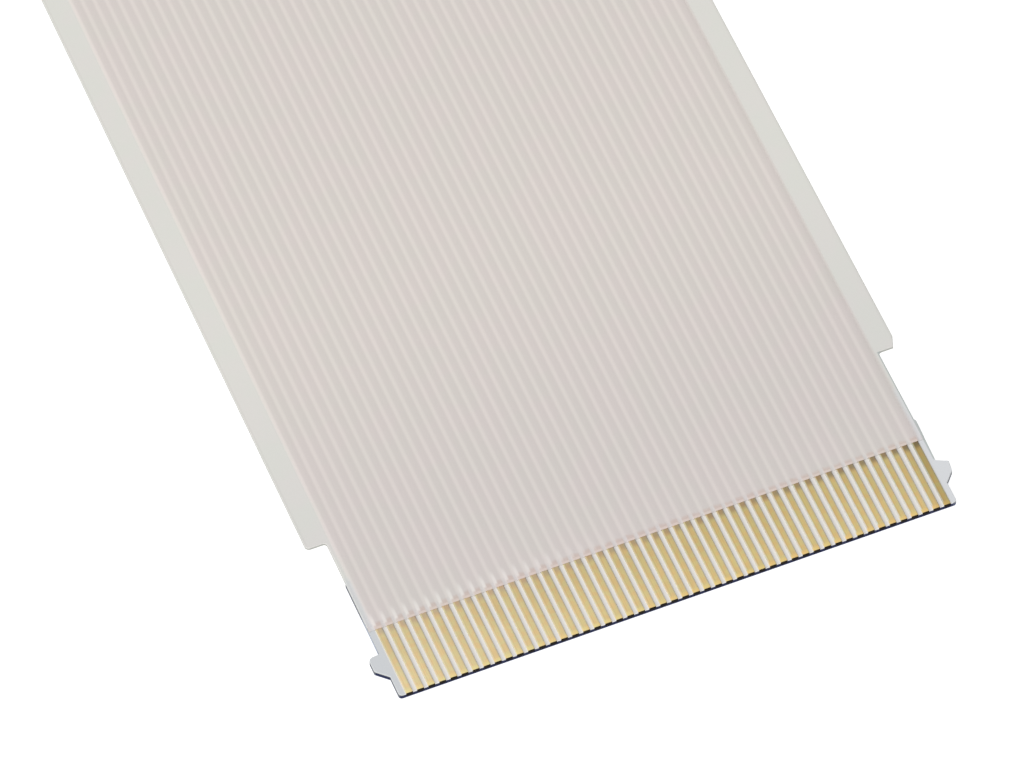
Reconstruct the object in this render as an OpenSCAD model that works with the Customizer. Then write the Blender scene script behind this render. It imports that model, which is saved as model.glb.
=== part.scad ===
// Flat ribbon cable: flat wires laid side by side between two films, with a stiffened and
// eared contact end at each end. X runs across the wires, Y runs along them, and Z points up
// from the surface that the cable lies on. The near end is at -Y, and the far end is the same,
// turned half round. All sizes are in millimetres.

/* [Wires] */
// Number of wires side by side
ways = 50; // [4:1:56]
// Distance between the middles of two neighbouring wires
pitch = 0.5; // [0.46:0.01:1.25]
// Width of a flat wire
wire_w = 0.3; // [0.15:0.01:0.34]
// Thickness of a flat wire
wire_t = 0.05; // [0.035:0.005:0.1]
// Size of the rolled edge along each corner of a wire
wire_edge = 0.015; // [0.005:0.001:0.015]
// Length of the tip that the cutting punch bends down at each end of a wire
tip_l = 0.25; // [0.1:0.05:0.5]
// How far that tip drops at the very end
tip_drop = 0.015; // [0.005:0.005:0.02]

/* [Films] */
// Thickness of the base film under the wires, with its adhesive
base_t = 0.06; // [0.04:0.005:0.1]
// Thickness of the cover film over the wires, with its adhesive
cover_t = 0.06; // [0.04:0.005:0.1]
// Depth of the valley that the cover film sinks to between two wires
valley_depth = 0.01; // [0.005:0.005:0.03]
// Width of the slope on each side of a valley
valley_slope = 0.05; // [0.01:0.01:0.05]
// Width of the slope outside the outermost wires, down to where the films lie on each other
margin_slope = 0.15; // [0.05:0.01:0.18]
// Length of the slope that the laminating press leaves at each end of the cover film
lip_l = 0.2; // [0.1:0.05:0.5]
// Thickness of the cover film over a wire at its very edge
lip_t = 0.02; // [0.01:0.005:0.035]

/* [Cable] */
// Overall length, from end to end
cable_l = 102; // [30:1:300]
// Distance from the middle of an outermost wire to the edge of the full width
body_margin = 1.35; // [1:0.05:3]

/* [Contact ends] */
// Length of the bare contacts at each end
contact_l = 3.5; // [2.6:0.1:5]
// Distance from the middle of an outermost wire to the edge of the punched end
end_margin = 0.45; // [0.35:0.01:0.6]
// Length of each punched end, up to the step where the full width starts
end_l = 8.45; // [6.5:0.05:12]
// Radius of the corners at the very end
corner_r = 0.15; // [0.05:0.01:0.3]
// Radius in the corner at the foot of the step
step_foot_r = 0.15; // [0.05:0.01:0.2]
// Radius of the outer corner of the step on the -X side of the near end
step_r = 0.2; // [0.1:0.05:0.6]
// How far the outer corner of the step on the +X side is cut off, across the cable
step_cut = 0.2; // [0.05:0.05:0.35]
// Length of that slanting cut along the cable
step_cut_l = 0.55; // [0.2:0.05:0.8]
// How far the edge stands out where two punch strokes meet, on the +X side of the near end
punch_mark = 0.06; // [0.01:0.01:0.08]
// Distance of that mark from the end
punch_mark_at = 4.5; // [4:0.1:5]

/* [Ears] */
// How far an ear stands out from the punched end
ear_reach = 0.52; // [0.3:0.01:0.8]
// Distance from the end of the cable to where an ear starts
ear_start = 1.06; // [0.5:0.02:1.5]
// Length of an ear at its root
ear_l = 1.26; // [1.2:0.02:2.5]
// Length of the sloping front of an ear
ear_lead = 0.5; // [0.2:0.05:0.7]
// Radius in the corner behind an ear
ear_root_r = 0.06; // [0.02:0.01:0.08]
// How far the back of the -X ear leans forwards from root to tip
left_rake = 0.06; // [0:0.02:0.3]
// Radius of the front corner of the -X ear
left_front_r = 0.14; // [0.04:0.01:0.15]
// Radius of the back corner of the -X ear
left_back_r = 0.2; // [0.05:0.01:0.2]
// How far the back of the +X ear leans forwards from root to tip
right_rake = 0.24; // [0:0.02:0.3]
// How far the outside of the +X ear leans inwards from back to front
right_lean = 0.08; // [0:0.01:0.1]
// Radius of the front corner of the +X ear
right_front_r = 0.1; // [0.04:0.01:0.15]
// Radius of the back corner of the +X ear
right_back_r = 0.07; // [0.05:0.01:0.15]

/* [Stiffeners] */
// Thickness of each stiffener, with its adhesive
stiffener_t = 0.2; // [0.1:0.01:0.3]
// Length of each stiffener
stiffener_l = 6.2; // [4:0.1:6.4]

/* [Hidden] */
// Straight steps in each rounded corner of the outline
arc_steps = 6;
// How far a cutting shape runs past what it cuts
past = 1;

// Half widths, from the middle of the cable
row_half = (ways - 1) * pitch / 2;
end_half = row_half + end_margin;
ear_half = end_half + ear_reach;
body_half = row_half + body_margin;
half_l = cable_l / 2;

// Heights of the layers: a wire beds into the base film by its lower rolled edges
base_top = stiffener_t + base_t;
wire_bottom = base_top - wire_edge;
wire_top = wire_bottom + wire_t;
ridge_top = wire_top + cover_t;
valley_z = ridge_top - valley_depth;
margin_z = base_top + cover_t;
lip_z = wire_top + lip_t;

function wire_x(i) = (i - 1) * pitch - row_half;
function wire_name(i) = str("conductor_", i < 10 ? "0" : "", i);

function unit(v) = v / norm(v);
function flat(c) = [c.x, c.y];
// Points of the arc, of radius r, that rounds corner b between its neighbours a and c
function arc(a, b, c, r) =
    let (u = unit(a - b), v = unit(c - b), half = acos(u * v) / 2)
    let (middle = b + unit(u + v) * r / sin(half), reach = r / tan(half))
    let (first = b + u * reach - middle, last = b + v * reach - middle)
    let (start = atan2(first.y, first.x))
    let (turn = (atan2(last.y, last.x) - start + 540) % 360 - 180)
    [for (s = [0:arc_steps]) let (t = start + turn * s / arc_steps) middle + r * [cos(t), sin(t)]];
// Points of a closed outline whose corners are given as [x, y, radius]
function rounded(corners) =
    let (n = len(corners))
    [for (i = [0:n - 1])
        let (b = corners[i], a = corners[(i + n - 1) % n], c = corners[(i + 1) % n])
        each b.z == 0 ? [flat(b)] : arc(flat(a), flat(b), flat(c), b.z)];
function turned_round(corners) = [for (i = [len(corners) - 1:-1:0]) corners[i]];
function mirrored(corners, sx, sy) = [for (c = corners) [sx * c.x, sy * c.y, c.z]];

// The punched outline is made of quarters, each from the corner of the end to the full width. A
// quarter of one kind is on the +X side of the near end, and one of the other kind on its -X
// side. The far end is the same as the near end, turned half round.
function ear(rake, lean, front_r, back_r) = [
    [end_half, -half_l, corner_r],
    [end_half, -half_l + ear_start, 0],
    [ear_half - lean, -half_l + ear_start + ear_lead, front_r],
    [ear_half, -half_l + ear_start + ear_l - rake, back_r],
    [end_half, -half_l + ear_start + ear_l, ear_root_r]
];
mark = [
    [end_half + punch_mark, -half_l + punch_mark_at, 0],
    [end_half, -half_l + punch_mark_at + 2 * punch_mark, 0]
];
foot = [[end_half, -half_l + end_l, step_foot_r]];
cut_step = [
    [body_half - step_cut, -half_l + end_l, 0],
    [body_half, -half_l + end_l + step_cut_l, 0]
];
round_step = [[body_half, -half_l + end_l, step_r]];
right = concat(ear(right_rake, right_lean, right_front_r, right_back_r), mark, foot, cut_step);
left = concat(ear(left_rake, 0, left_front_r, left_back_r), foot, round_step);
outline = rounded(concat(
    right,
    turned_round(mirrored(left, 1, -1)),
    mirrored(right, -1, -1),
    turned_round(mirrored(left, -1, 1))
));

// Section of a wire, with its rolled edges, about its middle
wire_section = [
    [-wire_w / 2 + wire_edge, wire_bottom],
    [wire_w / 2 - wire_edge, wire_bottom],
    [wire_w / 2, base_top],
    [wire_w / 2, wire_top - wire_edge],
    [wire_w / 2 - wire_edge, wire_top],
    [-wire_w / 2 + wire_edge, wire_top],
    [-wire_w / 2, wire_top - wire_edge],
    [-wire_w / 2, base_top]
];

// Section of the base film from its top down, with a shallow bed for each wire
base_section = concat(
    [[-body_half - past, base_top]],
    [for (i = [1:ways]) each [
        [wire_x(i) - wire_w / 2, base_top],
        [wire_x(i) - wire_w / 2 + wire_edge, wire_bottom],
        [wire_x(i) + wire_w / 2 - wire_edge, wire_bottom],
        [wire_x(i) + wire_w / 2, base_top]
    ]],
    [[body_half + past, base_top], [body_half + past, -past], [-body_half - past, -past]]
);

// Underside of the cover film, with a channel that fits each wire, from -X to +X
channels = [for (i = [1:ways]) each [
    [wire_x(i) - wire_w / 2, base_top],
    [wire_x(i) - wire_w / 2, wire_top - wire_edge],
    [wire_x(i) - wire_w / 2 + wire_edge, wire_top],
    [wire_x(i) + wire_w / 2 - wire_edge, wire_top],
    [wire_x(i) + wire_w / 2, wire_top - wire_edge],
    [wire_x(i) + wire_w / 2, base_top]
]];

// Top of the cover film, with a ridge over each wire, from +X to -X
ridges = [for (i = [ways:-1:1]) each [
    [wire_x(i) + wire_w / 2 + (i == ways ? margin_slope : valley_slope), i == ways ? margin_z : valley_z],
    [wire_x(i) + wire_w / 2, ridge_top],
    [wire_x(i) - wire_w / 2, ridge_top],
    [wire_x(i) - wire_w / 2 - (i == 1 ? margin_slope : valley_slope), i == 1 ? margin_z : valley_z]
]];

cover_section = concat(
    [[-body_half - past, base_top]],
    channels,
    [[body_half + past, base_top], [body_half + past, margin_z]],
    ridges,
    [[-body_half - past, margin_z]]
);

// Side view of a layer that ends at y = half and slopes from low there to high over the length
// slope_l; each slope is drawn on past high, so that it cuts the layer's top cleanly
function tapered(half, low, high, slope_l) = [
    [-half, 0],
    [-half, low],
    [-half + 2 * slope_l, 2 * high - low],
    [half - 2 * slope_l, 2 * high - low],
    [half, low],
    [half, 0]
];

// Draws its child along Y, with the child's own Y as height
module along(length)
    translate([0, length / 2, 0])
        rotate([90, 0, 0])
            linear_extrude(length)
                children();

// Draws a side view as a block across X
module across(width)
    translate([-width / 2, 0, 0])
        rotate([90, 0, 90])
            linear_extrude(width)
                children();

module wire(i)
    color("goldenrod")
        translate([wire_x(i), 0, 0])
            intersection() {
                along(cable_l + 2 * past)
                    polygon(wire_section);
                across(wire_w + 2 * past)
                    polygon(tapered(half_l, wire_top - tip_drop, wire_top, tip_l));
            }

module base_film()
    color("ghostwhite")
        intersection() {
            translate([0, 0, stiffener_t])
                linear_extrude(base_t + past)
                    polygon(outline);
            along(cable_l + 2 * past)
                polygon(base_section);
        }

module cover_film()
    color("mistyrose")
        intersection() {
            linear_extrude(ridge_top + past)
                polygon(outline);
            along(cable_l + 2 * past)
                polygon(cover_section);
            across(2 * (body_half + past))
                polygon(tapered(half_l - contact_l, lip_z, ridge_top, lip_l));
        }

module stiffener()
    color("royalblue")
        linear_extrude(stiffener_t)
            intersection() {
                polygon(outline);
                translate([-body_half - past, -half_l - past])
                    square([2 * (body_half + past), stiffener_l + past]);
            }

for (i = [1:ways]) {
    wire(i);
}
base_film();
cover_film();
stiffener();  // stiffener_near
rotate([0, 0, 180]) stiffener();  // stiffener_far
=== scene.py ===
"""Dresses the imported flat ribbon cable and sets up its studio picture.

The cable lies flat with its wires along Y. Its near contact end is at -Y, and Z points up from
the surface that it rests on. Every length here is in metres, in the frame of the CAD model.
"""

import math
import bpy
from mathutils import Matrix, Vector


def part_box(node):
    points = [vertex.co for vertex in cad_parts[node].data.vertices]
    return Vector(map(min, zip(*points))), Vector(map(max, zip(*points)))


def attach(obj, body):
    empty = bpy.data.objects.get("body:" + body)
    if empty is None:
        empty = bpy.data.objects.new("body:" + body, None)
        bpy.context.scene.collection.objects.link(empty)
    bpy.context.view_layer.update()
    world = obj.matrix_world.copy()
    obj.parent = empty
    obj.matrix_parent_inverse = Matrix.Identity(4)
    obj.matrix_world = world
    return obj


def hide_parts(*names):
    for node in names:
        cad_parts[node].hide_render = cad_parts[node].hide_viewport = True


bl_info = {
    "name": "Flat Ribbon Cable",
    "version": (1, 0, 0),
    "blender": (4, 5, 0),
    "location": "View3D > Sidebar > Ribbon Cable",
    "description": "Finishes the wires, films and stiffeners of a flat ribbon cable",
    "category": "Object",
}

import bmesh
import bpy
from mathutils import Matrix, Vector

MM = 0.001
SAME_PLACE = 1e-7

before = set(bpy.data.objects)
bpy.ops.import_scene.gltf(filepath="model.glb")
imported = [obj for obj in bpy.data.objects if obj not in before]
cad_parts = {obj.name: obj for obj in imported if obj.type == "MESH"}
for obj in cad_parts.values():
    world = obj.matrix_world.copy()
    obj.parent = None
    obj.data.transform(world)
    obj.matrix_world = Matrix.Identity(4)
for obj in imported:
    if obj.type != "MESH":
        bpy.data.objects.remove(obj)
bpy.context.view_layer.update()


def wire_names():
    """The CAD nodes of the wires, from -X to +X."""
    return sorted(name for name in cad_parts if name.startswith("conductor_"))


def wire_middle(name):
    low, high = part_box(name)
    return (low.x + high.x) / 2


# Places that the CAD model already has
WIRES = wire_names()
PITCH = wire_middle(WIRES[1]) - wire_middle(WIRES[0])
ROW_HALF = wire_middle(WIRES[-1])
WIRE_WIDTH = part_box(WIRES[0])[1].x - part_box(WIRES[0])[0].x
WIRE_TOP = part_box(WIRES[0])[1].z
CABLE_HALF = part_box("base_film")[1].y
BODY_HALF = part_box("base_film")[1].x
BASE_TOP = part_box("base_film")[1].z
COVER_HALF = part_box("cover_film")[1].y
COVER_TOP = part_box("cover_film")[1].z
STIFFENER_HALF = -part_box("stiffener_near")[1].y
END_HALF = 12.70 * MM
STEP = 42.55 * MM
EAR_ROOT = 48.68 * MM


def linear(hex_colour):
    """The linear colour of an sRGB hex value."""
    channels = (int(hex_colour[i : i + 2], 16) / 255 for i in (1, 3, 5))
    return tuple(c / 12.92 if c <= 0.04045 else ((c + 0.055) / 1.055) ** 2.4 for c in channels)


def colour(name, description, hex_colour):
    """A colour that the user can change."""
    return bpy.props.FloatVectorProperty(
        name=name, description=description, default=linear(hex_colour),
        subtype="COLOR", size=3, min=0, max=1,
    )


def number(name, description, value, **settings):
    """A number that the user can change."""
    return bpy.props.FloatProperty(name=name, description=description, default=value, **settings)


def length(name, description, metres):
    """A length that the user can change."""
    return number(name, description, metres, unit="LENGTH", precision=6, min=0)


class WireFinish(bpy.types.PropertyGroup):
    """Gold plating on the flat copper wires"""

    gold: colour("Gold", "Plating on the contacts at the left side of the row", "#FFE7B4")
    # Painted shade: the gold is painted darker towards the right of the row, where less light falls
    right_gold_shade: colour("Thin gold", "The same at the right side, where it is thinner", "#F2D899")
    dull_patch: colour("Dull patch", "What the gold is multiplied by in its dull patches", "#F6F6F6")
    # Painted reflections: the pale film is painted onto both flanks of each wire, and onto the left flank
    # towards the right of the row
    flank_reflection: colour("Pale flank", "Gold at both sides of a wire, which mirrors the film", "#F7F1DB")
    film_reflection: colour("Mirrored film", "Left side of a wire at the right of the row", "#EEECE6")
    shaded_flank: colour("Shaded flank", "What the gold is multiplied by along its edges", "#F3F1ED")
    # Painted shade: each contact is painted darker from its tip towards the film
    shade_towards_film: colour("Towards the film", "What the gold is multiplied by at the film", "#F0F0ED")
    # Painted highlight: the bent tip of each contact is painted brighter, as if catching the light, and
    # less so at the right of the row
    tip_highlight: colour("Tip gold", "Plating that the punch has burnished at the tip", "#FFECB0")
    tip_highlight_right: colour("Tip gold, right", "The same at the right side of the row", "#FBDC96")
    warm_hue: colour("Warm hue", "What the gold is multiplied by in its warm patches", "#FFF8F1")
    cool_hue: colour("Cool hue", "What the gold is multiplied by in its cool patches", "#FAFFF9")
    last_wire: colour("Last wire", "What the gold is multiplied by at the row's right end", "#DFDED3")
    film_shade: colour("Shade by the film", "What the gold is multiplied by beside the film", "#EBE8FF")
    film_shade_right: colour("Shade at the right", "The same at the right side", "#BDBBD2")
    # Partly painted shade: the cut end of each wire is dark copper, painted near black where it faces down
    # and away from the light
    shaded_cut_copper: colour("Cut copper", "Oxidised copper where a wire was cut through", "#1C140E")
    # Length of the tip that the punch bent down, which also carries the painted highlight
    tip_length: length("Burnished tip", "Length of the burnished tip of a contact", 0.25 * MM)
    # Length of the painted shade, dull and brown, beside the film
    shaded_length: length("Thin plating", "Length of the thin plating beside the film", 0.33 * MM)
    uneven: length("Uneven end", "How much that length differs from wire to wire", 0.16 * MM)
    bath_patch: length("Bath patch", "Size of the patches where the plating's hue varies", 0.3 * MM)
    dull_size: length("Dull patch size", "Size of the patches where the plating is dull", 0.9 * MM)
    tip_drop: length("Tip drop", "How far the very end of a tip is bent down", 0.015 * MM)
    edge_width: length("Edge width", "Width of the rolled edge on each side of a wire", 0.035 * MM)
    edge_height: length("Edge height", "Its height, at most half the wire's thickness", 0.018 * MM)
    drawing_line: length("Drawing line", "Width of the lines that drawing leaves on a wire", 0.03 * MM)


class BurrFinish(bpy.types.PropertyGroup):
    """Copper that the cutting punch has dragged down over the end of the film, near black: partly the
    sheared copper and partly painted shade under the wire's end
    """

    # Near black: partly the burr's own copper and partly painted shade under the wire's end
    copper: colour("Copper", "Oxidised copper of a burr", "#1C140E")
    torn_copper: colour("Torn copper", "The same where it is torn", "#110C07")
    tear: length("Tear", "Size of the torn patches", 0.05 * MM)
    height: length("Height", "How far a burr reaches down from the end of its wire", 0.19 * MM)
    thickness: length("Thickness", "How far a burr stands out from the cut end", 0.008 * MM)
    corner: length("Corner", "Radius of the two lower corners of a burr", 0.05 * MM)


class FilmFinish(bpy.types.PropertyGroup):
    """White polyester film with the wires showing through"""

    over_wire: colour("Over a wire", "Film where a wire shows through", "#CFC8C3")
    between_wires: colour("Between wires", "Film between two wires", "#D9D2CC")
    margin: colour("Margin", "Film outside the outermost wires", "#D6D5CF")
    # Painted shade: the film is painted darker along its rolled-over punched edge
    margin_edge_shade: colour("Margin edge", "Film along its punched edge", "#D1D0CA")
    # Painted shade: the upright punched walls of the film are painted grey
    shaded_cut_edge: colour("Cut edge", "Punched edge of the film, seen from the side", "#9C9D97")
    # Painted shade: the rounded rim at the right side of each end, up to the ear, is painted darker
    right_rim_shade: colour("Right rim", "Rounded rim of an end at its right side, up to the ear", "#B0B6B4")
    lip_over_wire: colour("Lip over a wire", "Thin cover film over a wire at its very edge", "#C2B3AC")
    lip_edge: colour("Lip edge over a wire", "Its last tenth of a millimetre, in the light", "#CFC0B8")
    lip_between: colour("Lip between wires", "Thin cover film between two wires", "#C9C4C2")
    bare_base: colour("Bare base film", "Base film between two contacts, where light reaches it", "#DEDBD6")
    bare_shade: colour("Bare base in shade", "The same beside the wire that shades it", "#C7C4C0")
    pocket: colour("Air pocket", "Film behind the lip where it has not quite bonded", "#DBD6D2")
    over_stiffener: colour("Over the stiffener", "Film at the left, where the stiffener shows", "#C4C7CA")
    over_stiffener_right: colour("Over the stiffener, right", "The same at the right side", "#CFD1D4")
    # Painted shade: the film is painted darker towards each end, where less light falls
    end_shade: colour("End tone", "What the film's colour is multiplied by near its ends", "#F8F8FA")
    warm_haze: colour("Warm haze", "What the film is multiplied by in its warm patches", "#FFFDFE")
    cool_haze: colour("Cool haze", "What the film is multiplied by in its cool patches", "#FDFEFD")
    stripe_edge: number("Stripe edge", "Where a wire's look fades out, in pitches", 0.18, min=0, max=0.5)
    valley_depth: length("Valley depth", "Depth of the valley between two wires", 0.006 * MM)
    margin_slope: length("Margin slope", "Width of the slope outside the outermost wires", 0.15 * MM)
    channel_gap: length("Channel gap", "Width of the wall of the channel round a wire", 0.012 * MM)
    lip_slope: length("Lip slope", "Length over which the press has thinned each end", 0.25 * MM)
    lip_thickness: length("Lip thickness", "Thickness of the cover film at its very end", 0.014 * MM)
    lip_length: length("Lip", "Length of the tinted lip", 0.2 * MM)
    step: length("Step", "From the cable's middle to the step where each end gets narrower", STEP)
    step_radius: length("Step radius", "Radius of the outer corner of the round steps", 0.2 * MM)
    step_cut: length("Step cut", "How far the other steps' corner is cut off, across the cable", 0.2 * MM)
    step_cut_length: length("Step cut length", "Length of that cut along the cable", 0.55 * MM)
    foot_radius: length("Foot radius", "Radius in the corner at the foot of the step", 0.15 * MM)
    punch_mark: length("Punch mark", "How far the edge stands out where two strokes meet", 0.06 * MM)
    punch_mark_place: length("Punch mark place", "From the cable's middle to that mark", 46.5 * MM)
    rolled_edge: length("Rolled edge", "Width of the edge that the punch has drawn down", 0.035 * MM)
    haze: length("Haze", "Size of the cloudy patches in the film", 1.6 * MM)


class StiffenerFinish(bpy.types.PropertyGroup):
    """Blue polyester stiffener under each contact end"""

    face: colour("Face", "Underside of the stiffener", "#2E63B4")
    dark_grain: colour("Dark grain", "The same in the hollows of its grain", "#2A5CA7")
    # Partly painted shade: the tape's blue, painted near black on its punched walls
    shaded_cut_edge: colour("Cut edge", "Punched edge of the stiffener", "#161E42")
    # Painted light: the side walls, along X, are painted pale grey as if lit from the left
    lit_side_edge: colour("Side edge", "The same along the sides, where it is scraped grey", "#4A4F5A")
    # Painted light: the side wall just before the ear is painted paler still, as if lit from the left
    lit_edge_before_ear: colour("Worn edge", "The same just before the ear, where it is paler", "#959DAB")
    # The punched edge, painted paler round the ear at the right
    right_ear_edge: colour("Bruised edge", "The same round the ear at the right", "#666C80")
    lit_from: length("Worn from", "From the middle of the cable to where its side is paler", 46.3 * MM)
    grain: length("Grain", "Size of the matt grain on the underside", 0.08 * MM)
    grain_depth: length("Grain depth", "Depth of that grain", 0.004 * MM)


class StudioSettings(bpy.types.PropertyGroup):
    """White ground, soft light and camera"""

    ground: colour("Ground", "Glow of the paper under the cable", "#FFFFFF")
    paper: colour("Paper", "How much light the paper throws back", "#AAAAAA")
    glow: number("Glow", "Light of the ground itself, so that no shadow shows on it", 0.8, min=0)
    sky_left: number("Sky on the left", "Strength of the soft light from the left", 0.86, min=0)
    sky_right: number("Sky on the right", "Strength of the soft light from the right", 0.4, min=0)
    key_watts: number("Key light", "Power of the softbox on the left", 2.7, unit="POWER", min=0)
    elevation: number("Elevation", "How steeply the camera looks down", math.radians(54), subtype="ANGLE")
    azimuth: number(
        "Azimuth", "How far left of the cable the camera stands", math.radians(19.82), subtype="ANGLE"
    )
    roll: number("Roll", "Turn of the camera about its line of sight", math.radians(-2.70), subtype="ANGLE")
    distance: length("Distance", "From the camera to the point that it looks at", 403.0 * MM)
    focal_length: number("Focal length", "In millimetres, on a sensor 36 mm wide", 331.35, min=1)


def add_node(tree, kind, inputs=(), **settings):
    """Adds a node with its settings, and fills its inputs, by number or name, with values or links."""
    node = tree.nodes.new("ShaderNode" + kind)
    node.location.x = 200 * len(tree.nodes)
    for name, value in settings.items():
        setattr(node, name, value)
    for key, value in inputs.items() if isinstance(inputs, dict) else enumerate(inputs):
        socket = node.inputs[key]
        if isinstance(value, bpy.types.Node):
            value = next(output for output in value.outputs if output.enabled)
        if isinstance(value, bpy.types.NodeSocket):
            tree.links.new(value, socket)
        else:
            socket.default_value = (*value, 1) if socket.type == "RGBA" else value
    return node


def new_material(name):
    """An empty material, its node tree, and the point of the surface that its patterns read."""
    material = bpy.data.materials.new(name)
    material.use_nodes = True
    material.node_tree.nodes.clear()
    place = add_node(material.node_tree, "TexCoord").outputs["Object"]
    return material, material.node_tree, place


# Settings of the MapRange nodes whose result starts and stops changing softly
SOFT = {"interpolation_type": "SMOOTHSTEP"}
# Most values of a noise texture lie between these two
NOISE = (0.3, 0.7)
# Noise values between which dull patches, hues of the plating and hues of the film's haze change
DULL_NOISE, HUE_NOISE, HAZE_NOISE = (0.4, 0.15), (0.4, 0.6), (0.35, 0.65)
# How often a noise that differs from wire to wire changes over one pitch
WIRE_NOISE = 1.4
# A face is square to an axis where its normal's share along that axis is over the first number, and
# lies along the axis where it is under the second
SQUARE, UPRIGHT = 0.7, 0.3

# Where a look lies across a wire and the gap beside it, in pitches past the middle of the wire on the
# left: it begins at the first number, is full from the second to the third, and is gone at the fourth
MIRRORING_SIDE = (0.6, 0.68, 0.74, 0.83)
SHADED_LINE_LEFT = (0.74, 0.81, 0.87, 0.94)
SHADED_LINE_RIGHT = (0.12, 0.26, 0.35, 0.4)
SPARED_SIDE = (0.5, 0.6, 0.78, 0.92)
POCKET_SIDE = (0.5, 0.7, 0.8, 0.98)
# The same along the cable, as distances behind the edge of the cover film
POCKET_REACH = (0.95 * MM, 0.4 * MM, 0.24 * MM, 0.06 * MM)
# Between which distances from the middle of a wire, in pitches, a look begins and is full
FLANK, LIP_GAP = (0.1, 0.28), (0.25, 0.4)
FLANK_SHARE = 0.45
# Between which places in the row, in half rows from its middle, a look changes
RIGHT_GOLD_SHADE, FILM_SHADE, MIRRORING, POCKETS = (-1, 0.25), (-0.5, 1), (0, 0.7), (0, -0.6)
# How clear the shaded line is at the left end of the row and at the right end
LINE_STRENGTH = (0.4, 1.2)
# How far from the right end of the row the last wire's look begins
LAST_WIRE = 1.5 * PITCH
# The drawing lines are this many times as long as they are wide
LINE_STRETCH = 50
# The share of the tip over which its painted highlight comes on, and how far in front of the film the
# painted shade beside the film starts to fade, as a share of its length
TIP_FADE, FILM_SHADE_FULL = 0.7, 0.4

# Distances outside the row, in pitches, between which the margin, the punched walls and the blue of the
# stiffener under the cover film and the base film begin and are full
MARGIN, WALLS, COVER_BLUE, BASE_BLUE = (0.4, 0.7), (0.5, 0.6), (0.25, 0.6), (0.3, 0.45)
# Distances from the punched edge at which the painted shade along the margin's edge begins and is full, and
# the same for the painted shade on the rim
MARGIN_EDGE_SHADE, RIM_SHADE = (0.16 * MM, 0.05 * MM), (0.09 * MM, 0.03 * MM)
# Distances behind the cover film's edge at which these begin and are full
END_SHADE, LIP_EDGE, BARE_BASE = (18 * MM, 2 * MM), (0.14 * MM, 0.06 * MM), (0.1 * MM, 0)
# In lip lengths, where the lip begins behind the film's edge and how much shorter it is at the right
LIP_START, LIP_SHORTER = 1.5, 0.5
# Pitches past a wire between which the base film comes out of its shade
PAST_SHADE = (0.3, 0.65)
# How far before the stiffener its blue starts to show through the film, and its share in the cover film
BLUE_START, BLUE_SHARE = 0.3 * MM, 0.6
# How gradually a look begins at the step and stops at the ear
STEP_BAND, EAR_BAND = 0.01 * MM, 0.1 * MM
# How far inside the side of an end the paler edge at the right ear begins, and over what length the painted
# light on its side comes on
RIGHT_EAR_BAND, LIT_FADE = 0.3 * MM, 1 * MM

POLYESTER_IOR = 1.57
GOLD_ROUGHNESS = (0.3, 0.42)
SHEARED_ROUGHNESS = 0.6
COVER_ROUGHNESS = (0.38, 0.46)
BASE_ROUGHNESS = (0.4, 0.5)
TAPE_ROUGHNESS = (0.5, 0.62)
# Specular level of the tape's punched edge and of its face
TAPE_GLOSS = (0.1, 0.5)


def coated(tree, base, *coats):
    """A colour with coats over it. Each coat is the share of it that shows and its colour, and a
    third value where it isn't laid over what is below but multiplies it."""
    for share, coat, *way in coats:
        base = add_node(
            tree, "Mix", {0: share, 6: base, 7: coat}, data_type="RGBA", blend_type=way[0] if way else "MIX"
        )
    return base


def between(tree, value, start, full_from, full_to, end):
    """0 outside start and end, and 1 from full_from to full_to."""
    rise = add_node(tree, "MapRange", [value, start, full_from], **SOFT)
    fall = add_node(tree, "MapRange", [value, end, full_to], **SOFT)
    return add_node(tree, "Math", [rise, fall], operation="MULTIPLY")


def from_middle(tree, place):
    """Distances from the cable's middle across it and along it."""
    axes = add_node(tree, "SeparateXYZ", [place])
    return tuple(add_node(tree, "Math", [axes.outputs[i]], operation="ABSOLUTE") for i in (0, 1))


def wire_count(tree, place):
    """How many pitches a point lies past the middle of the first wire."""
    axes = add_node(tree, "SeparateXYZ", [place])
    return add_node(tree, "Math", [axes, 1 / PITCH, ROW_HALF / PITCH], operation="MULTIPLY_ADD")


def from_wire(tree, place):
    """Distance from the middle of the nearest wire in pitches, from 0 to 0.5."""
    return add_node(tree, "Math", [wire_count(tree, place), 0.5], operation="PINGPONG")


def past_wire(tree, place):
    """How far a point lies past the middle of the wire on its left, in pitches from 0 to 1."""
    return add_node(tree, "Math", [wire_count(tree, place)], operation="FRACT")


def unevenly(tree, place, along, most):
    """The distance along the cable, longer by up to this much and not the same from wire to wire."""
    across_wires = add_node(tree, "Mapping", {"Vector": place, "Scale": (WIRE_NOISE / PITCH, 0, 0)})
    differs = add_node(tree, "TexNoise", {"Vector": across_wires, "Scale": 1, "Detail": 0})
    return add_node(tree, "Math", [differs, most, along], operation="MULTIPLY_ADD")


def over_row(tree, axes, start, full):
    """0 and 1 at these places in the row, in half rows from its middle, and even in between."""
    return add_node(tree, "MapRange", [axes, start * ROW_HALF, full * ROW_HALF])


def outside_row(tree, across, start, full):
    """0 and 1 at these distances outside the row, in pitches."""
    return add_node(tree, "MapRange", [across, ROW_HALF + start * PITCH, ROW_HALF + full * PITCH], **SOFT)


def inside(tree, value, edge, start, full):
    """0 and 1 at these distances before an edge."""
    return add_node(tree, "MapRange", [value, edge - start, edge - full], **SOFT)


def facing(tree, axis):
    """1 on faces that are square to this axis of the part, and 0 on faces along it."""
    normal = add_node(tree, "NewGeometry").outputs["True Normal"]
    axes = add_node(tree, "SeparateXYZ", [normal])
    size = add_node(tree, "Math", [axes.outputs[axis]], operation="ABSOLUTE")
    return add_node(tree, "Math", [size, SQUARE], operation="GREATER_THAN")


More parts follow.
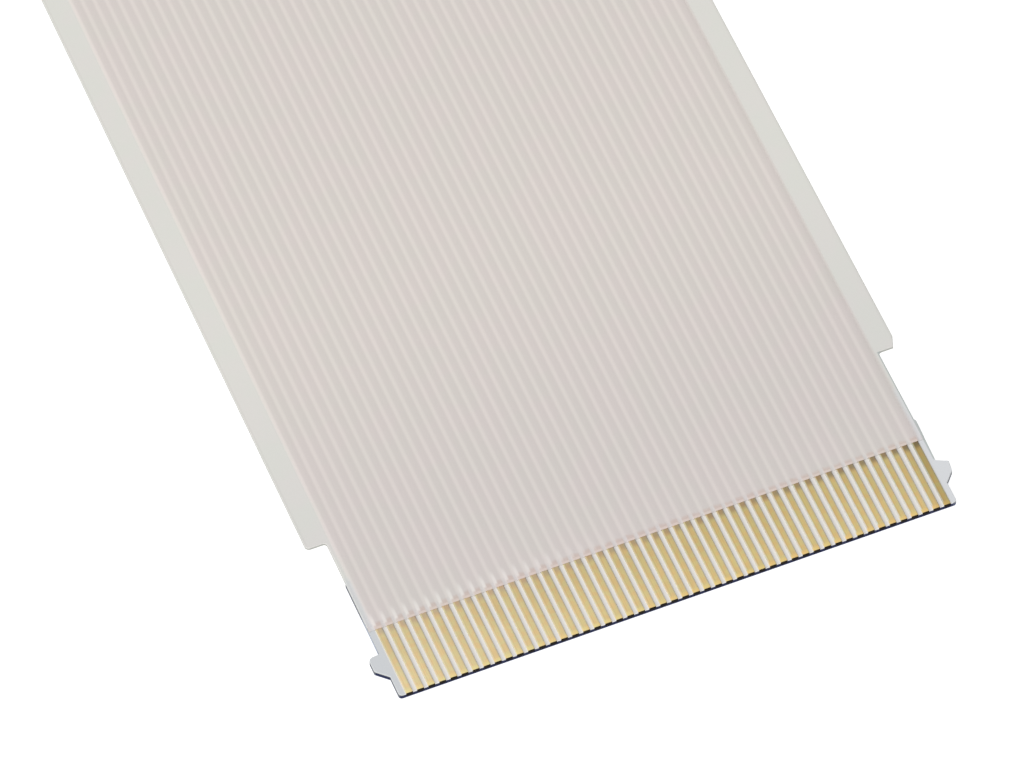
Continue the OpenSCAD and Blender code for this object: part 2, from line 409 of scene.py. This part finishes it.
def punched_edge(tree, across):
    """1 on the walls of the punched outline, and 0 on level faces and between the wires."""
    upright = add_node(tree, "Math", [1, facing(tree, 2)], operation="SUBTRACT")
    return add_node(tree, "Math", [outside_row(tree, across, *WALLS), upright], operation="MULTIPLY")


def rounded_rim(tree, place, film):
    """1 on the rounded rim at the right side of a contact end, from its step to its ear, where painted
    shade lies.
    """
    axes = add_node(tree, "SeparateXYZ", [place])
    _, along = from_middle(tree, place)
    narrow = between(tree, along, film.step - STEP_BAND, film.step, EAR_ROOT - EAR_BAND, EAR_ROOT)
    return add_node(tree, "Math", [inside(tree, axes, END_HALF, *RIM_SHADE), narrow], operation="MULTIPLY")


def gold_plated_copper(wires):
    """Gold over nickel on drawn copper: a satin metal with fine lines along it and dull patches, with a
    painted highlight on the tip that the punch has bent down, painted reflections of the film on its
    flanks, and painted shade along its edges, towards the film, dull and brown beside the film, and towards
    the right of the row."""
    material, tree, place = new_material("gold_plated_drawn_copper")
    axes = add_node(tree, "SeparateXYZ", [place])
    _, along = from_middle(tree, place)
    beside = past_wire(tree, place)

    # Share of the painted shade that darkens the gold towards the right of the row
    right_gold_shade = over_row(tree, axes, *RIGHT_GOLD_SHADE)
    at_right = add_node(tree, "MapRange", [axes, *(x * ROW_HALF for x in MIRRORING)], **SOFT)
    last_wire = inside(tree, axes, ROW_HALF, LAST_WIRE, 0)

    line_scale = 1 / wires.drawing_line
    stretched = add_node(
        tree, "Mapping", {"Vector": place, "Scale": (line_scale, line_scale / LINE_STRETCH, line_scale)}
    )
    lines = add_node(tree, "TexNoise", {"Vector": stretched, "Scale": 1, "Detail": 2})
    bath = add_node(tree, "TexNoise", {"Vector": place, "Scale": 1 / wires.dull_size, "Detail": 3})
    patchy = add_node(tree, "Math", [lines, bath], operation="MULTIPLY")
    dull = add_node(tree, "MapRange", [patchy, *DULL_NOISE], **SOFT)
    hue = add_node(tree, "TexNoise", {"Vector": place, "Scale": 1 / wires.bath_patch, "Detail": 1})
    cool = add_node(tree, "MapRange", [hue, *HUE_NOISE], **SOFT)

    # Painted reflections of the film on the flanks of the wires
    flank = add_node(tree, "MapRange", [from_wire(tree, place), *FLANK, 0, FLANK_SHARE], **SOFT)
    mirroring = between(tree, beside, *MIRRORING_SIDE)
    mirrors = add_node(tree, "Math", [at_right, mirroring], operation="MULTIPLY")
    strength = add_node(tree, "MapRange", [axes, -ROW_HALF, ROW_HALF, *LINE_STRENGTH])
    left_line = between(tree, beside, *SHADED_LINE_LEFT)
    right_line = between(tree, beside, *SHADED_LINE_RIGHT)
    in_shade = add_node(tree, "Math", [left_line, strength, right_line], operation="MULTIPLY_ADD")

    # Painted highlight over the bent tip
    tip = inside(tree, along, CABLE_HALF, wires.tip_length, (1 - TIP_FADE) * wires.tip_length)
    # Painted shade, growing from the tip towards the film
    shade_towards_film = add_node(tree, "MapRange", [along, CABLE_HALF, COVER_HALF], **SOFT)
    # Painted shade beside the cover film's edge, of a length that differs from wire to wire
    film_shade_from = COVER_HALF + wires.uneven / 2 + FILM_SHADE_FULL * wires.shaded_length
    uneven = unevenly(tree, place, along, wires.uneven)
    in_film_shade = add_node(tree, "MapRange", [uneven, film_shade_from + wires.shaded_length, film_shade_from], **SOFT)
    spared = between(tree, beside, *SPARED_SIDE)
    shade = coated(
        tree, wires.film_shade,
        (over_row(tree, axes, *FILM_SHADE), wires.film_shade_right),
        (spared, linear("#FFFFFF")),
    )

    tint = coated(
        tree, wires.gold,
        (right_gold_shade, wires.right_gold_shade),
        (dull, wires.dull_patch, "MULTIPLY"),
        (flank, wires.flank_reflection),
        (mirrors, wires.film_reflection),
        (in_shade, wires.shaded_flank, "MULTIPLY"),
        (shade_towards_film, wires.shade_towards_film, "MULTIPLY"),
        (tip, coated(tree, wires.tip_highlight, (right_gold_shade, wires.tip_highlight_right))),
        (1, coated(tree, wires.warm_hue, (cool, wires.cool_hue)), "MULTIPLY"),
        (last_wire, wires.last_wire, "MULTIPLY"),
        (in_film_shade, shade, "MULTIPLY"),
        (facing(tree, 1), wires.shaded_cut_copper),
    )
    roughness = add_node(tree, "MapRange", [lines, *NOISE, *GOLD_ROUGHNESS])
    metal = add_node(tree, "BsdfPrincipled", {"Base Color": tint, "Metallic": 1, "Roughness": roughness})
    add_node(tree, "OutputMaterial", [metal])
    return material


def sheared_copper(burrs):
    """Copper dragged by the punch and left bare: dark brown, torn and dull, and near black as painted shade
    under each wire's end.
    """
    material, tree, place = new_material("sheared_copper")
    torn = add_node(tree, "TexNoise", {"Vector": place, "Scale": 1 / burrs.tear, "Detail": 4})
    tint = coated(tree, burrs.torn_copper, (torn, burrs.copper))
    metal = add_node(
        tree, "BsdfPrincipled", {"Base Color": tint, "Metallic": 1, "Roughness": SHEARED_ROUGHNESS}
    )
    add_node(tree, "OutputMaterial", [metal])
    return material


def film_look(tree, place, film):
    """Colour of the film over the wires and in the margins, away from the contact ends."""
    across, _ = from_middle(tree, place)
    stripe = add_node(tree, "MapRange", [from_wire(tree, place), film.stripe_edge, 0.5], **SOFT)
    margin = coated(tree, film.margin, (inside(tree, across, BODY_HALF, *MARGIN_EDGE_SHADE), film.margin_edge_shade))
    in_margin = outside_row(tree, across, *MARGIN)
    return coated(tree, film.over_wire, (stripe, film.between_wires), (in_margin, margin))


def over_stiffener(tree, place, film):
    """Colour of the film at the sides of a contact end."""
    axes = add_node(tree, "SeparateXYZ", [place])
    right = add_node(tree, "MapRange", [axes, -ROW_HALF, ROW_HALF], **SOFT)
    return coated(tree, film.over_stiffener, (right, film.over_stiffener_right))


def polyester(tree, tint, haze, roughness):
    """The slightly glossy surface of a polyester film, rougher where it is hazy."""
    rough = add_node(tree, "MapRange", [haze, *NOISE, *roughness])
    surface = add_node(
        tree, "BsdfPrincipled", {"Base Color": tint, "Roughness": rough, "IOR": POLYESTER_IOR}
    )
    add_node(tree, "OutputMaterial", [surface])


def polyester_cover_film(film):
    """White polyester film, laminated hot: smooth and slightly glossy, with the wires showing
    through as pinkish stripes and a lip that the press has thinned."""
    material, tree, place = new_material("laminated_polyester_cover_film")
    axes = add_node(tree, "SeparateXYZ", [place])
    across, along = from_middle(tree, place)

    most = LIP_SHORTER * film.lip_length
    shorter = add_node(tree, "MapRange", [axes, -ROW_HALF, ROW_HALF, 0, most])
    uneven = unevenly(tree, place, along, film.lip_length)
    beyond = add_node(tree, "Math", [uneven, shorter], operation="SUBTRACT")
    lip_start = COVER_HALF - LIP_START * film.lip_length
    behind_lip = add_node(tree, "MapRange", [beyond, lip_start, lip_start + film.lip_length], **SOFT)
    at_edge = inside(tree, along, COVER_HALF, *LIP_EDGE)
    in_gap = add_node(tree, "MapRange", [from_wire(tree, place), *LIP_GAP], **SOFT)
    lip = coated(tree, film.lip_over_wire, (at_edge, film.lip_edge), (in_gap, film.lip_between))

    at_left = add_node(tree, "MapRange", [axes, *(x * ROW_HALF for x in POCKETS)], **SOFT)
    at_wire = between(tree, past_wire(tree, place), *POCKET_SIDE)
    in_row = between(tree, along, *(COVER_HALF - behind for behind in POCKET_REACH))
    unbonded = add_node(tree, "Math", [at_wire, in_row], operation="MULTIPLY")
    pocket = add_node(tree, "Math", [unbonded, at_left], operation="MULTIPLY")

    side = outside_row(tree, across, *COVER_BLUE)
    stiffened = add_node(
        tree, "MapRange", [along, STIFFENER_HALF - BLUE_START, STIFFENER_HALF, 0, BLUE_SHARE]
    )
    over_blue = add_node(tree, "Math", [side, stiffened], operation="MULTIPLY")
    haze = add_node(tree, "TexNoise", {"Vector": place, "Scale": 1 / film.haze, "Detail": 3})
    cool = add_node(tree, "MapRange", [haze, *HAZE_NOISE], **SOFT)

    tint = coated(
        tree, film_look(tree, place, film),
        (inside(tree, along, COVER_HALF, *END_SHADE), film.end_shade, "MULTIPLY"),
        (behind_lip, lip),
        (pocket, film.pocket),
        (over_blue, over_stiffener(tree, place, film)),
        (rounded_rim(tree, place, film), film.right_rim_shade),
        (1, coated(tree, film.warm_haze, (cool, film.cool_haze)), "MULTIPLY"),
        (punched_edge(tree, across), film.shaded_cut_edge),
    )
    polyester(tree, tint, haze, COVER_ROUGHNESS)
    return material


def polyester_base_film(film):
    """White polyester film with its hot-melt adhesive: milky between the contacts, and bluish at the
    sides where the stiffener shows through."""
    material, tree, place = new_material("adhesive_coated_polyester_base_film")
    across, along = from_middle(tree, place)
    bare = inside(tree, along, COVER_HALF, *BARE_BASE)
    past_shade = add_node(tree, "MapRange", [past_wire(tree, place), *PAST_SHADE], **SOFT)
    side = outside_row(tree, across, *BASE_BLUE)
    stiffened = inside(tree, along, STIFFENER_HALF, BLUE_START, 0)
    over_blue = add_node(tree, "Math", [side, stiffened], operation="MULTIPLY")
    haze = add_node(tree, "TexNoise", {"Vector": place, "Scale": 1 / film.haze, "Detail": 3})
    tint = coated(
        tree, film_look(tree, place, film),
        (bare, coated(tree, film.bare_shade, (past_shade, film.bare_base))),
        (over_blue, over_stiffener(tree, place, film)),
        (rounded_rim(tree, place, film), film.right_rim_shade),
        (punched_edge(tree, across), film.shaded_cut_edge),
    )
    polyester(tree, tint, haze, BASE_ROUGHNESS)
    return material


def blue_polyester_stiffener(stiffener):
    """Matt blue polyester tape: a fine even grain below, with painted shade making its punched edge near
    black, and painted light on its side walls.
    """
    material, tree, place = new_material("matt_blue_polyester_tape")
    axes = add_node(tree, "SeparateXYZ", [place])
    _, along = from_middle(tree, place)
    grain = add_node(tree, "TexNoise", {"Vector": place, "Scale": 1 / stiffener.grain, "Detail": 2})
    level = facing(tree, 2)
    at_ear = inside(tree, axes, END_HALF, RIGHT_EAR_BAND, 0)
    lit_from = stiffener.lit_from
    # Painted light on the side wall before the ear
    lit_before_ear = between(tree, along, lit_from, lit_from + LIT_FADE, EAR_ROOT - EAR_BAND, EAR_ROOT)
    tint = coated(
        tree, stiffener.shaded_cut_edge,
        (at_ear, stiffener.right_ear_edge),
        (facing(tree, 0), coated(tree, stiffener.lit_side_edge, (lit_before_ear, stiffener.lit_edge_before_ear))),
        (level, coated(tree, stiffener.dark_grain, (grain, stiffener.face))),
    )
    surface = {
        "Base Color": tint,
        "Roughness": add_node(tree, "MapRange", [grain, *NOISE, *TAPE_ROUGHNESS]),
        "IOR": POLYESTER_IOR,
        "Specular IOR Level": add_node(tree, "MapRange", [level, 0, 1, *TAPE_GLOSS]),
        "Normal": add_node(
            tree, "Bump", {"Height": grain, "Distance": stiffener.grain_depth, "Strength": 0.5}
        ),
    }
    add_node(tree, "OutputMaterial", [add_node(tree, "BsdfPrincipled", surface)])
    return material


def paint(names, material):
    """Gives CAD nodes this material instead of their plain one."""
    for name in names:
        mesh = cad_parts[name].data
        mesh.materials.clear()
        mesh.materials.append(material)


# Edges that bend by this much or more look sharp
SHARP = math.radians(40)
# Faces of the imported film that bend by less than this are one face
ONE_FACE = math.radians(0.5)
# Half the width of the level top of a ridge of the cover film, and the width of the fall beside a wire
# under its lip, in widths of a wire
RIDGE_HALF, LIP_FALL = 0.25, 0.3
# Where a wire is cut across for its bent tip, in tip lengths from its end
TIP_CUTS = (1, 0.7, 0.45, 0.2, 0.08)
# Where the cover film has rows of points, in lip slopes from its end, and how far before the step and
# from the middle of the cable it has the others
LIP_ROWS = (0, 0.15, 0.35, 0.6, 0.85, 1, 1.5, 2.5)
BEFORE_STEP, MIDDLE_ROW = 2 * MM, 20 * MM


def cut_faces(bm, faces, place, direction, clear_outer=False):
    """Cuts only these faces along a plane, and can delete what lies beyond it."""
    zone = list(dict.fromkeys(item for face in faces for item in (face, *face.edges, *face.verts)))
    bmesh.ops.bisect_plane(bm, geom=zone, plane_co=place, plane_no=direction, clear_outer=clear_outer)


def round_off(bm, edges, radius, segments):
    """Rounds these edges."""
    bmesh.ops.bevel(
        bm, geom=edges, offset=radius, segments=segments, profile=0.5, affect="EDGES", material=-1
    )


def smooth(bm, flat=lambda face: False):
    """Shades the mesh smoothly, apart from flat faces and sharp edges."""
    for face in bm.faces:
        face.smooth = not flat(face)
    for edge in bm.edges:
        edge.smooth = len(edge.link_faces) < 2 or edge.calc_face_angle() < SHARP


def new_piece(name, bm, material):
    """Makes the bmesh a piece that rides on the cable."""
    mesh = bpy.data.meshes.new(name)
    bm.to_mesh(mesh)
    bm.free()
    mesh.materials.append(material)
    piece = bpy.data.objects.new(name, mesh)
    bpy.context.scene.collection.objects.link(piece)
    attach(piece, "root")
    return piece


def beside_wire(x):
    """Distance from the middle of the nearest wire."""
    place = x / PITCH + ROW_HALF / PITCH
    return abs(place - min(max(round(place), 0), len(WIRES) - 1)) * PITCH


def ease(share):
    """0 to 1, with a soft start and end."""
    share = min(max(share, 0), 1)
    return share * share * (3 - 2 * share)


def cover_height(film, x, y):
    """Height of the cover film's top: a ridge over each wire, a soft valley between two of them,
    and down to a thin lip at each end."""
    beside = beside_wire(x)
    ridge_half = RIDGE_HALF * WIRE_WIDTH
    if abs(x) > ROW_HALF:
        low = COVER_TOP - (WIRE_TOP - BASE_TOP)
        reach = WIRE_WIDTH / 2 + film.margin_slope
    else:
        low, reach = COVER_TOP - film.valley_depth, PITCH / 2
    height = COVER_TOP + (low - COVER_TOP) * ease((beside - ridge_half) / (reach - ridge_half))
    below = WIRE_TOP + (BASE_TOP - WIRE_TOP) * ease((beside - WIRE_WIDTH / 2) / (LIP_FALL * WIRE_WIDTH))
    lip = ease((abs(y) - COVER_HALF + film.lip_slope) / film.lip_slope)
    return height + (below + film.lip_thickness - height) * lip


def roll_over_edge(bm, film, chosen):
    """Rounds the top of the punched edge, where the punch has drawn the film down."""
    rim = [
        edge for edge in bm.edges
        if len(edge.link_faces) == 2
        and max(face.normal.z for face in edge.link_faces) > SQUARE
        and abs(min(face.normal.z for face in edge.link_faces)) < UPRIGHT
        and all(chosen(abs(vert.co.x), abs(vert.co.y)) for vert in edge.verts)
    ]
    round_off(bm, rim, film.rolled_edge, segments=3)


class RIBBON_OT_wires(bpy.types.Operator):
    """Roll the wires, each with round edges and a tip that the punch has bent down"""

    bl_idname = "ribbon_cable.wires"
    bl_label = "Wires"

    def execute(self, context):
        wires = context.scene.ribbon_wires
        gold = gold_plated_copper(wires)
        for name in WIRES:
            bm = bmesh.new()
            self.roll_wire(bm, wires, name)
            wire = new_piece(name.replace("conductor", "flat_wire"), bm, gold)
            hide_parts(name)
        return {"FINISHED"}

    def roll_wire(self, bm, wires, name):
        """A long bar in the CAD wire's place, whose edges are rounded while it is squeezed narrower,
        so that they come out wider than they are high."""
        low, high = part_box(name)
        middle, size = (low + high) / 2, high - low
        squeeze = wires.edge_height / wires.edge_width
        verts = bmesh.ops.create_cube(bm, size=1)["verts"]
        bmesh.ops.scale(bm, verts=verts, vec=(size.x * squeeze, size.y, size.z))
        for station in TIP_CUTS:
            for side in (-1, 1):
                cut = side * (size.y / 2 - station * wires.tip_length)
                cut_faces(bm, bm.faces, (0, cut, 0), (0, 1, 0))
        for vert in bm.verts:
            into_tip = 1 - (size.y / 2 - abs(vert.co.y)) / wires.tip_length
            if vert.co.z > 0 and into_tip > 0:
                vert.co.z -= wires.tip_drop * into_tip**2
        along = [
            edge for edge in bm.edges
            if abs(edge.verts[0].co.x - edge.verts[1].co.x) < SAME_PLACE
            and abs(edge.verts[0].co.z - edge.verts[1].co.z) < wires.tip_drop
        ]
        round_off(bm, along, wires.edge_height, segments=5)
        bmesh.ops.scale(bm, verts=bm.verts, vec=(1 / squeeze, 1, 1))
        bmesh.ops.translate(bm, verts=bm.verts, vec=middle)
        smooth(bm)


class RIBBON_OT_burrs(bpy.types.Operator):
    """Drag a burr of copper down over the cut film under each contact"""

    bl_idname = "ribbon_cable.burrs"
    bl_label = "Cut burrs"

    def execute(self, context):
        burrs = context.scene.ribbon_burrs
        copper = sheared_copper(burrs)
        top = WIRE_TOP - context.scene.ribbon_wires.tip_drop
        # The near-black burrs stand partly for the shade under the end of each wire
        for name, side in (("cut_burrs_near", -1), ("cut_burrs_far", 1)):
            bm = bmesh.new()
            for wire in WIRES:
                self.add_burr(bm, burrs, wire_middle(wire), side, top)
            new_piece(name, bm, copper)
        return {"FINISHED"}

    def add_burr(self, bm, burrs, x, side, top):
        """A thin tongue with two round lower corners, flat on the cut end."""
        made = bmesh.ops.create_cube(bm, size=1)["verts"]
        middle = top - burrs.height / 2
        place = Vector((x, side * (CABLE_HALF + burrs.thickness / 2), middle))
        size = Matrix.Diagonal((WIRE_WIDTH, burrs.thickness, burrs.height, 1))
        bmesh.ops.transform(bm, verts=made, matrix=Matrix.Translation(place) @ size)
        corners = [
            edge for edge in dict.fromkeys(edge for vert in made for edge in vert.link_edges)
            if all(vert.co.z < middle for vert in edge.verts)
            and abs(edge.verts[0].co.y - edge.verts[1].co.y) > 0.5 * burrs.thickness
        ]
        round_off(bm, corners, burrs.corner, segments=4)


class RIBBON_OT_base_film(bpy.types.Operator):
    """Finish the base film, with its punched edge rolled over round the ears"""

    bl_idname = "ribbon_cable.base_film"
    bl_label = "Base film"

    def execute(self, context):
        film = context.scene.ribbon_film
        bm = bmesh.new()
        bm.from_mesh(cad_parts["base_film"].data)
        bmesh.ops.remove_doubles(bm, verts=bm.verts, dist=SAME_PLACE)
        bmesh.ops.dissolve_limit(bm, angle_limit=ONE_FACE, verts=bm.verts, edges=bm.edges)
        outside = ROW_HALF + 0.6 * WIRE_WIDTH
        roll_over_edge(bm, film, lambda across, along: across > outside and along > COVER_HALF)
        base = new_piece("punched_base_film", bm, polyester_base_film(film))
        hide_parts("base_film")
        return {"FINISHED"}


class RIBBON_OT_cover_film(bpy.types.Operator):
    """Laminate the cover film over the wires, with a soft valley between every two of them"""

    bl_idname = "ribbon_cable.cover_film"
    bl_label = "Cover film"

    def execute(self, context):
        film = context.scene.ribbon_film
        bm = bmesh.new()
        self.lay_sheet(bm, film)
        self.trim_ends(bm, film)
        self.press_over_wires(bm, film)
        self.round_corners(bm, film)
        cover = new_piece("laminated_cover_film", bm, polyester_cover_film(film))
        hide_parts("cover_film")
        return {"FINISHED"}

    def margin_start(self, film):
        """From the middle of the cable to where its margin is level."""
        return ROW_HALF + WIRE_WIDTH / 2 + film.margin_slope

    def lay_sheet(self, bm, film):
        """A flat grid with its columns close together beside each wire, and its rows at each lip."""
        half = WIRE_WIDTH / 2
        steps = (0.6 * half, half, half + film.channel_gap)
        columns = [x + side * step for x in map(wire_middle, WIRES) for step in steps for side in (-1, 1)]
        columns += [wire_middle(wire) + PITCH / 2 for wire in WIRES[:-1]]
        slope = [self.margin_start(film) - film.margin_slope * share for share in (2 / 3, 1 / 3, 0)]
        columns += [side * x for side in (-1, 1) for x in (*slope, BODY_HALF)]
        columns.sort()
        rows = [COVER_HALF - film.lip_slope * share for share in LIP_ROWS]
        rows += [film.punch_mark_place, film.punch_mark_place - 2 * film.punch_mark]
        rows += [film.step, film.step - BEFORE_STEP, MIDDLE_ROW]
        rows = sorted({side * row for side in (-1, 1) for row in rows})
        bmesh.ops.create_grid(bm, x_segments=len(columns) - 1, y_segments=len(rows) - 1, size=1)
        for vert in bm.verts:
            vert.co.x = columns[round((vert.co.x + 1) / 2 * (len(columns) - 1))]
            vert.co.y = rows[round((vert.co.y + 1) / 2 * (len(rows) - 1))]

    def trim_ends(self, bm, film):
        """Cuts the sheet narrower from each step to the end, as the punch does, and cuts off the
        corner of two of the steps. Each end is the other one turned half round."""
        for side in (-1, 1):
            ends = [face for face in bm.faces if abs(face.calc_center_median().y) > film.step]
            cut_faces(bm, ends, (side * END_HALF, 0, 0), (side, 0, 0))
        middles = [(face, face.calc_center_median()) for face in bm.faces]
        outside = [face for face, at in middles if abs(at.y) > film.step and abs(at.x) > END_HALF]
        bmesh.ops.delete(bm, geom=outside, context="FACES")
        for side in (-1, 1):
            middles = [(face, side * face.calc_center_median()) for face in bm.faces]
            corner = [
                face for face, at in middles
                if at.x > END_HALF - PITCH and film.step - BEFORE_STEP < -at.y < film.step
            ]
            place = (side * (BODY_HALF - film.step_cut), -side * film.step, 0)
            direction = (side * film.step_cut_length, -side * film.step_cut, 0)
            cut_faces(bm, corner, place, direction, clear_outer=True)
        mark = film.punch_mark_place
        for vert in bm.verts:
            before = abs(abs(vert.co.x) - END_HALF) < SAME_PLACE and vert.co.x * vert.co.y < 0
            if before and abs(vert.co.y) > mark - SAME_PLACE:
                share = 1 - (abs(vert.co.y) - mark) / (EAR_ROOT - mark)
                vert.co.x += math.copysign(film.punch_mark * share, vert.co.x)

    def press_over_wires(self, bm, film):
        """Gives the sheet its thickness: channels that fit the wires below, soft ridges above."""
        lower = list(bm.verts)
        made = bmesh.ops.extrude_face_region(bm, geom=bm.faces[:])["geom"]
        upper = [item for item in made if isinstance(item, bmesh.types.BMVert)]
        for vert in lower:
            in_row = abs(vert.co.x) < ROW_HALF + PITCH / 2
            on_wire = in_row and beside_wire(vert.co.x) < WIRE_WIDTH / 2 + SAME_PLACE
            vert.co.z = WIRE_TOP if on_wire else BASE_TOP
        for vert in upper:
            vert.co.z = cover_height(film, vert.co.x, vert.co.y)
        bmesh.ops.recalc_face_normals(bm, faces=bm.faces)

    def round_corners(self, bm, film):
        """Rounds the two corners of each step, then rolls the punched edge over. The edges that
        run inwards from the foot of a step go first, so that only the step itself is rounded."""
        start = self.margin_start(film)

        def at_step(edge, from_x, to_x):
            return all(
                abs(abs(vert.co.y) - film.step) < SAME_PLACE
                and from_x - SAME_PLACE < abs(vert.co.x) < to_x + SAME_PLACE
                for vert in edge.verts
            )

        inwards = [
            edge for edge in bm.edges
            if at_step(edge, start, END_HALF)
            and abs(edge.verts[0].co.x - edge.verts[1].co.x) > SAME_PLACE
        ]
        bmesh.ops.dissolve_edges(bm, edges=inwards)
        bm.normal_update()
        for x, radius in ((BODY_HALF, film.step_radius), (END_HALF, film.foot_radius)):
            upright = [edge for edge in bm.edges if at_step(edge, x, x)]
            round_off(bm, upright, radius, segments=6)
        outside, before_end = ROW_HALF + WIRE_WIDTH, COVER_HALF - 10 * SAME_PLACE
        roll_over_edge(bm, film, lambda across, along: across > outside and along < before_end)
        smooth(bm, lambda face: abs(face.normal.z) > 0.9999 and abs(face.calc_center_median().x) > start)


class RIBBON_OT_stiffeners(bpy.types.Operator):
    """Finish the stiffener under each end"""

    bl_idname = "ribbon_cable.stiffeners"
    bl_label = "Stiffeners"

    def execute(self, context):
        material = blue_polyester_stiffener(context.scene.ribbon_stiffener)
        paint(["stiffener_near", "stiffener_far"], material)
        return {"FINISHED"}


# The paper's half width and its middle, off centre because the diagonal of its one face would show
# under the film
GROUND_HALF, GROUND_PLACE = 2, Vector((0.5, 0.1, -0.02 * MM))
SOFTBOX_SIZE, SOFTBOX_PLACE, SOFTBOX_AIM = 0.6, Vector((-0.42, -0.36, 0.45)), Vector((0, -0.03, 0))
CAMERA_AIM = Vector((-2.35 * MM, 13.06 * MM - CABLE_HALF, WIRE_TOP))
# Between which directions the sky changes from its strength on the left to the one on the right
SKY_CHANGE = (0.1, 1)


class RIBBON_OT_studio(bpy.types.Operator):
    """Set up the white ground, the soft light and the camera"""

    bl_idname = "ribbon_cable.studio"
    bl_label = "Studio"

    def execute(self, context):
        studio = context.scene.ribbon_studio
        self.add_ground(context, studio)
        self.add_sky(context, studio)
        self.add_key_light(context, studio)
        self.add_camera(context, studio)
        context.scene.view_settings.view_transform = "Standard"
        return {"FINISHED"}

    def add_ground(self, context, studio):
        """White paper just under the cable, clear from below so that the underside can be seen."""
        bm = bmesh.new()
        bmesh.ops.create_grid(bm, x_segments=1, y_segments=1, size=GROUND_HALF)
        bmesh.ops.translate(bm, verts=bm.verts, vec=GROUND_PLACE)
        mesh = bpy.data.meshes.new("ground")
        bm.to_mesh(mesh)
        bm.free()
        material, tree, _ = new_material("white_studio_paper")
        paper = add_node(
            tree, "BsdfPrincipled",
            {
                "Base Color": studio.paper, "Roughness": 0.9,
                "Emission Color": studio.ground, "Emission Strength": studio.glow,
            },
        )
        from_below = add_node(tree, "NewGeometry").outputs["Backfacing"]
        clear = add_node(tree, "BsdfTransparent")
        add_node(tree, "OutputMaterial", [add_node(tree, "MixShader", [from_below, paper, clear])])
        mesh.materials.append(material)
        ground = bpy.data.objects.new("ground", mesh)
        context.scene.collection.objects.link(ground)

    def add_sky(self, context, studio):
        """Soft light from all round, weaker towards the right."""
        world = bpy.data.worlds.new("studio")
        world.use_nodes = True
        tree = world.node_tree
        tree.nodes.clear()
        direction = add_node(tree, "TexCoord").outputs["Generated"]
        axes = add_node(tree, "SeparateXYZ", [direction])
        strength = add_node(tree, "MapRange", [axes, *SKY_CHANGE, studio.sky_left, studio.sky_right])
        sky = add_node(tree, "Background", {"Color": linear("#FFFFFF"), "Strength": strength})
        add_node(tree, "OutputWorld", [sky])
        context.scene.world = world

    def add_key_light(self, context, studio):
        """A softbox at the front left that looks at the near half of the cable."""
        lamp = bpy.data.lights.new("key", "AREA")
        lamp.energy = studio.key_watts
        lamp.size = SOFTBOX_SIZE
        key = bpy.data.objects.new("key", lamp)
        key.location = SOFTBOX_PLACE
        key.rotation_euler = (SOFTBOX_AIM - SOFTBOX_PLACE).to_track_quat("-Z", "Y").to_euler()
        key.visible_camera = False
        context.scene.collection.objects.link(key)

    def add_camera(self, context, studio):
        """Looks down on the near contact end, with the far end of the cable outside the picture."""
        turn = Matrix.Rotation(-studio.azimuth, 3, "Z")
        turn @= Matrix.Rotation(math.pi / 2 - studio.elevation, 3, "X")
        camera = bpy.data.objects.new("camera", bpy.data.cameras.new("camera"))
        camera.location = CAMERA_AIM + turn @ Vector((0, 0, studio.distance))
        camera.rotation_euler = (turn @ Matrix.Rotation(studio.roll, 3, "Z")).to_euler()
        camera.data.lens = studio.focal_length
        camera.data.clip_start, camera.data.clip_end = 0.01, 10
        context.scene.collection.objects.link(camera)
        context.scene.camera = camera


class RIBBON_PT_cable(bpy.types.Panel):
    bl_label = "Ribbon Cable"
    bl_idname = "RIBBON_PT_cable"
    bl_space_type = "VIEW_3D"
    bl_region_type = "UI"
    bl_category = "Ribbon Cable"

    def draw(self, context):
        for operator, settings in STEPS:
            box = self.layout.box()
            box.operator(operator.bl_idname)
            group = getattr(context.scene, settings)
            for name in group.bl_rna.properties.keys():
                if name not in ("rna_type", "name"):
                    box.prop(group, name)


GROUPS = {
    "ribbon_wires": WireFinish,
    "ribbon_burrs": BurrFinish,
    "ribbon_film": FilmFinish,
    "ribbon_stiffener": StiffenerFinish,
    "ribbon_studio": StudioSettings,
}
STEPS = (
    (RIBBON_OT_wires, "ribbon_wires"),
    (RIBBON_OT_burrs, "ribbon_burrs"),
    (RIBBON_OT_base_film, "ribbon_film"),
    (RIBBON_OT_cover_film, "ribbon_film"),
    (RIBBON_OT_stiffeners, "ribbon_stiffener"),
    (RIBBON_OT_studio, "ribbon_studio"),
)
CLASSES = (*GROUPS.values(), *(operator for operator, _ in STEPS), RIBBON_PT_cable)


def register():
    for item in CLASSES:
        bpy.utils.register_class(item)
    for name, group in GROUPS.items():
        setattr(bpy.types.Scene, name, bpy.props.PointerProperty(type=group))


def unregister():
    for name in GROUPS:
        delattr(bpy.types.Scene, name)
    for item in reversed(CLASSES):
        bpy.utils.unregister_class(item)


def main():
    register()
    for operator, _ in STEPS:
        category, name = operator.bl_idname.split(".")
        getattr(getattr(bpy.ops, category), name)()


if __name__ == "__main__":
    main()
